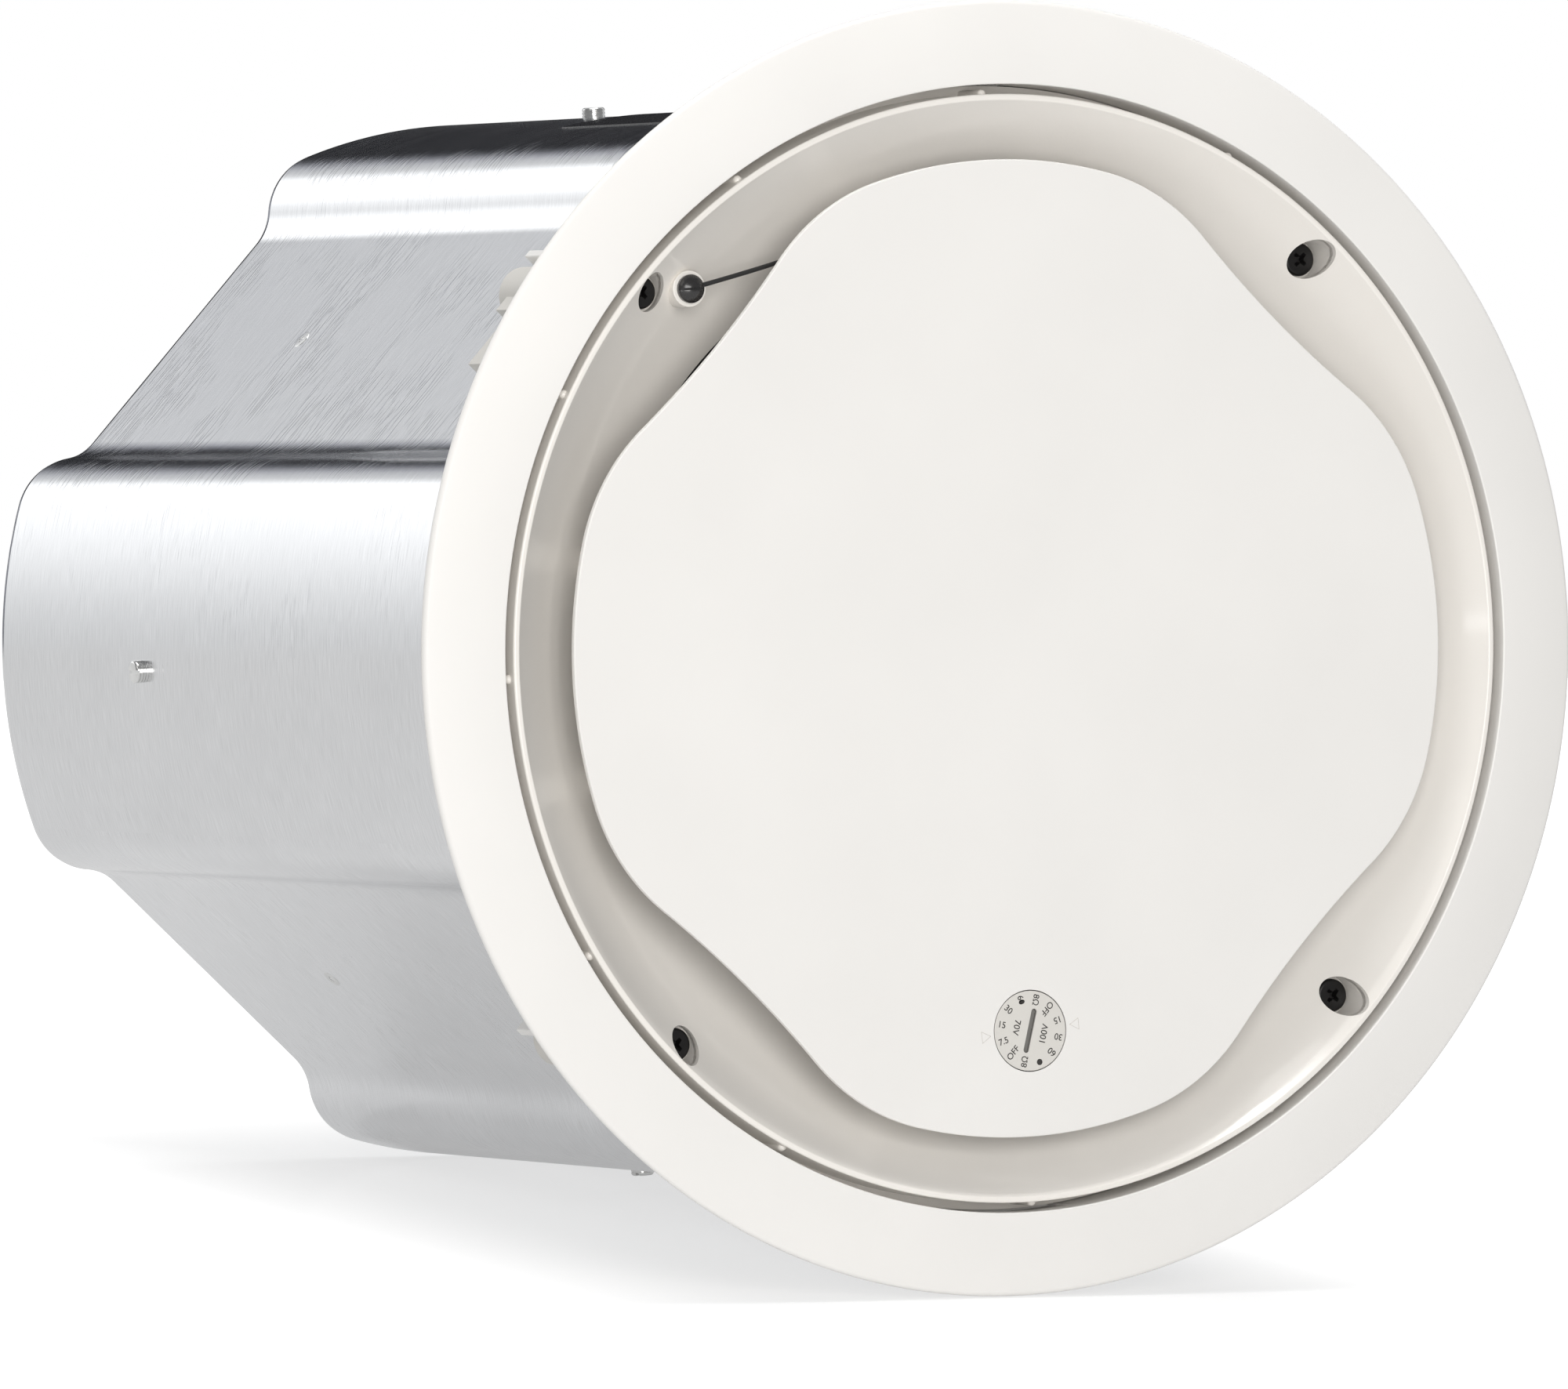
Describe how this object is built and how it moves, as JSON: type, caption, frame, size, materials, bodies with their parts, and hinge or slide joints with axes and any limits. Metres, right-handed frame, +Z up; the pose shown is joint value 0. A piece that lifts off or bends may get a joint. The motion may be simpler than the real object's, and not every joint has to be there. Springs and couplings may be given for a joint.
{
  "type": "in-ceiling loudspeaker",
  "caption": "Round in-ceiling loudspeaker with a lobed steel back can, a flared white bezel and dish, a flat lobed deflector plate, a tap selector dial and swing-out clamps.",
  "frame": {"origin": "on the speaker's axis in the ceiling plane, where the back of the bezel seats", "axes": "+Z up into the ceiling void along the can, -Z the front, the can's lobes on X and Y, the dial towards -Y"},
  "size_m": [0.4099, 0.41, 0.4184],
  "materials": {
    "white_moulding": "satin moulded ABS, warm white",
    "dish_moulding": "satin moulded ABS, warm white",
    "plate_white": "satin painted moulding, white",
    "dial_white": "satin moulded plastic, light grey white",
    "black_plastic": "satin black nylon",
    "black_cord": "braided black nylon",
    "black_screw": "black oxide steel",
    "brass_bush": "turned brass",
    "beige_moulding": "moulded glass-filled nylon, beige white",
    "zinc_steel": "bright zinc-plated sheet with fine rolling lines",
    "bright_screw": "bright plated steel",
    "motor_steel": "zinc-plated turned steel",
    "core_steel": "varnished steel laminations",
    "coil_wrap": "varnished yellow insulating wrap",
    "gasket_foam": "closed-cell foam",
    "frame_black": "black powder coat",
    "surround_rubber": "matt rubber",
    "cone_paper": "pressed paper pulp, black",
    "coil_copper": "copper winding on a former",
    "spider_cloth": "resin-dipped cotton",
    "ferrite": "sintered ferrite",
    "rivet": "plain aluminium"
  },
  "bodies": {
    "speaker": {"bezel_ring": "white_moulding", "dish": "dish_moulding", "deflector_plate": "plate_white", "tap_switch": "black_plastic", "lanyard_button": "black_plastic", "lanyard": "black_cord", "back_can": "zinc_steel", "lobe_screws": "bright_screw", "flat_screws": "bright_screw", "flange_screws": "bright_screw", "transformer_tray": "zinc_steel", "transformer_core": "core_steel", "transformer_coil": "coil_wrap", "transformer_brackets": "zinc_steel", "bracket_screws": "bright_screw", "driver_gasket": "gasket_foam", "woofer_frame": "frame_black", "driver_screws": "black_screw", "surround": "surround_rubber", "spider": "spider_cloth", "top_plate": "motor_steel", "magnet_ring": "ferrite", "back_plate": "motor_steel", "rear_cover": "zinc_steel", "terminal_cup": "zinc_steel", "terminal_lid": "zinc_steel", "lid_screws": "bright_screw", "terminal_block": "black_plastic", "cable_gland": "black_plastic", "safety_bracket": "zinc_steel", "safety_rivets": "rivet"},
    "tap_dial": {"tap_dial": "dial_white"},
    "cone_assembly": {"cone": "cone_paper", "dust_cap": "cone_paper", "voice_coil": "coil_copper"},
    "clamp_screw_1": {"clamp_screw_1": "black_screw"},
    "clamp_bush_1": {"clamp_bush_1": "brass_bush"},
    "clamp_dog_1": {"clamp_dog_1": "beige_moulding"},
    "clamp_screw_2": {"clamp_screw_2": "black_screw"},
    "clamp_bush_2": {"clamp_bush_2": "brass_bush"},
    "clamp_dog_2": {"clamp_dog_2": "beige_moulding"},
    "clamp_screw_3": {"clamp_screw_3": "black_screw"},
    "clamp_bush_3": {"clamp_bush_3": "brass_bush"},
    "clamp_dog_3": {"clamp_dog_3": "beige_moulding"},
    "clamp_screw_4": {"clamp_screw_4": "black_screw"},
    "clamp_bush_4": {"clamp_bush_4": "brass_bush"},
    "clamp_dog_4": {"clamp_dog_4": "beige_moulding"}
  },
  "joints": [
    {"name": "dial_turn", "type": "hinge", "parent": "speaker", "child": "tap_dial", "pos_m": [0, -0.1211, 0], "axis": [0, 0, 1], "range_deg": [-75, 75]},
    {"name": "cone_travel", "type": "slide", "parent": "speaker", "child": "cone_assembly", "axis": [0, 0, 1], "range_m": [-0.006, 0.006], "stiffness_N_per_m": 3000, "deforming": ["surround", "spider"]},
    {"name": "clamp_1_screw", "type": "hinge", "parent": "speaker", "child": "clamp_screw_1", "pos_m": [0.11809, 0.11809, 0], "axis": [0, 0, 1], "range_deg": [0, 5328]},
    {"name": "clamp_1_travel", "type": "slide", "parent": "speaker", "child": "clamp_bush_1", "axis": [0, 0, -1], "range_m": [0, 0.037]},
    {"name": "clamp_1_swing", "type": "hinge", "parent": "clamp_bush_1", "child": "clamp_dog_1", "pos_m": [0.11809, 0.11809, 0], "axis": [0, 0, 1], "range_deg": [0, 90]},
    {"name": "clamp_2_screw", "type": "hinge", "parent": "speaker", "child": "clamp_screw_2", "pos_m": [-0.11809, 0.11809, 0], "axis": [0, 0, 1], "range_deg": [0, 5328]},
    {"name": "clamp_2_travel", "type": "slide", "parent": "speaker", "child": "clamp_bush_2", "axis": [0, 0, -1], "range_m": [0, 0.037]},
    {"name": "clamp_2_swing", "type": "hinge", "parent": "clamp_bush_2", "child": "clamp_dog_2", "pos_m": [-0.11809, 0.11809, 0], "axis": [0, 0, 1], "range_deg": [0, 90]},
    {"name": "clamp_3_screw", "type": "hinge", "parent": "speaker", "child": "clamp_screw_3", "pos_m": [-0.11809, -0.11809, 0], "axis": [0, 0, 1], "range_deg": [0, 5328]},
    {"name": "clamp_3_travel", "type": "slide", "parent": "speaker", "child": "clamp_bush_3", "axis": [0, 0, -1], "range_m": [0, 0.037]},
    {"name": "clamp_3_swing", "type": "hinge", "parent": "clamp_bush_3", "child": "clamp_dog_3", "pos_m": [-0.11809, -0.11809, 0], "axis": [0, 0, 1], "range_deg": [0, 90]},
    {"name": "clamp_4_screw", "type": "hinge", "parent": "speaker", "child": "clamp_screw_4", "pos_m": [0.11809, -0.11809, 0], "axis": [0, 0, 1], "range_deg": [0, 5328]},
    {"name": "clamp_4_travel", "type": "slide", "parent": "speaker", "child": "clamp_bush_4", "axis": [0, 0, -1], "range_m": [0, 0.037]},
    {"name": "clamp_4_swing", "type": "hinge", "parent": "clamp_bush_4", "child": "clamp_dog_4", "pos_m": [0.11809, -0.11809, 0], "axis": [0, 0, 1], "range_deg": [0, 90]}
  ],
  "couplings": [
    {"joint": "clamp_1_screw", "follows": "clamp_1_travel", "rad_per_m": 2513.2},
    {"joint": "clamp_2_screw", "follows": "clamp_2_travel", "rad_per_m": 2513.2},
    {"joint": "clamp_3_screw", "follows": "clamp_3_travel", "rad_per_m": 2513.2},
    {"joint": "clamp_4_screw", "follows": "clamp_4_travel", "rad_per_m": 2513.2}
  ]
}
